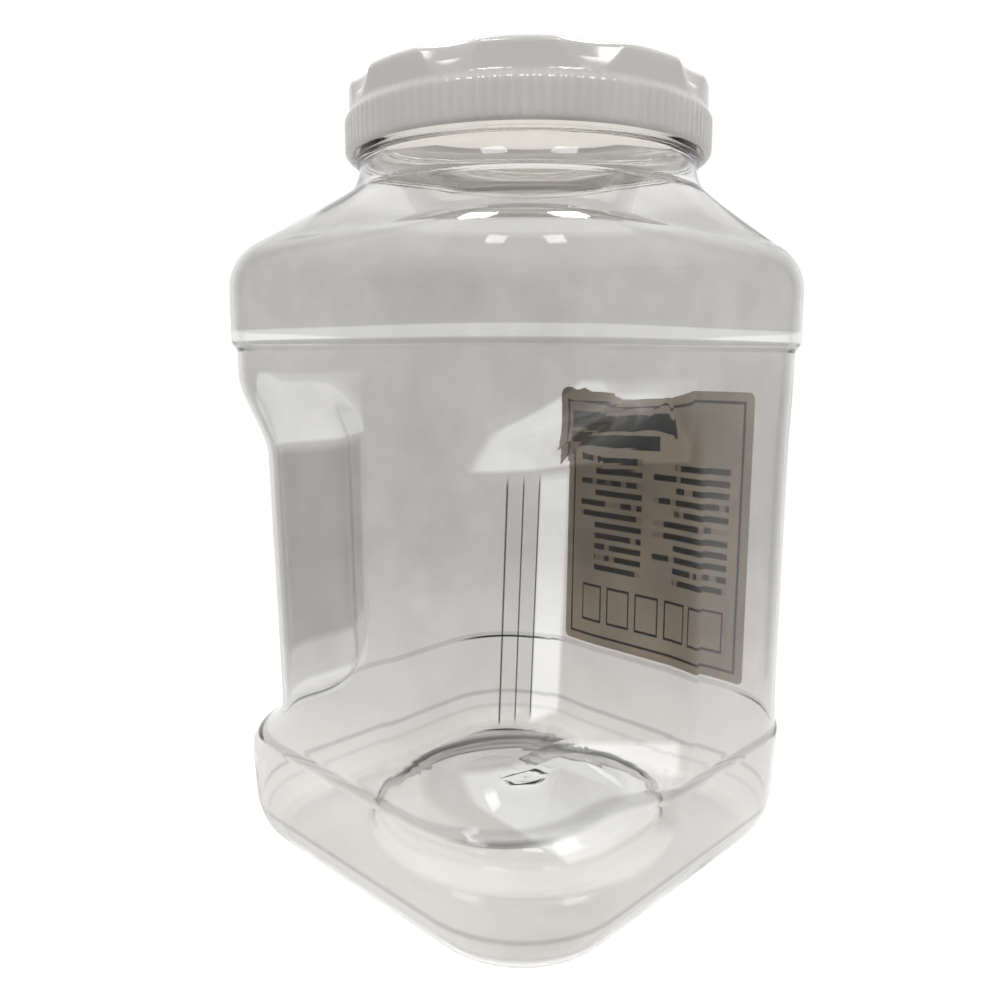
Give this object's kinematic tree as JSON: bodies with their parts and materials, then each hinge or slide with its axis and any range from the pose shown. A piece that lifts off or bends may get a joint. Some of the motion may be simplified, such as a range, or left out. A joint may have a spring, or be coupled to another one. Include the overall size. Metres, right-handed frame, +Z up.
{
  "type": "storage jar",
  "caption": "Clear square plastic storage jar with finger grips, a round screw neck, a scalloped screw lid with its liner, and a paper label.",
  "frame": {"origin": "centre of the square body's footprint, on the surface the jar stands on", "axes": "+Z up, +X out of the front face with the label, -X out of the back face between the two grips"},
  "size_m": [0.151, 0.151, 0.2435],
  "materials": {
    "clear_pet": "clear, glossy, blow moulded",
    "liner_foam": "matt closed-cell foam",
    "lid_plastic": "satin, injection moulded",
    "label_paper": "matt printed paper"
  },
  "bodies": {
    "jar": {"jar_body": "clear_pet", "side_label": "label_paper"},
    "liner": {"lid_liner": "liner_foam"},
    "lid": {"screw_lid": "lid_plastic"}
  },
  "joints": [
    {"name": "lid_lift", "type": "slide", "parent": "jar", "child": "liner", "axis": [0, 0, 1], "range_m": [0, 0.006]},
    {"name": "lid_turn", "type": "hinge", "parent": "liner", "child": "lid", "pos_m": [0.0045, 0, 0.238], "axis": [0, 0, 1], "range_deg": [0, 400]}
  ],
  "couplings": [
    {"joint": "lid_lift", "follows": "lid_turn", "m_per_rad": 0.00080851}
  ]
}
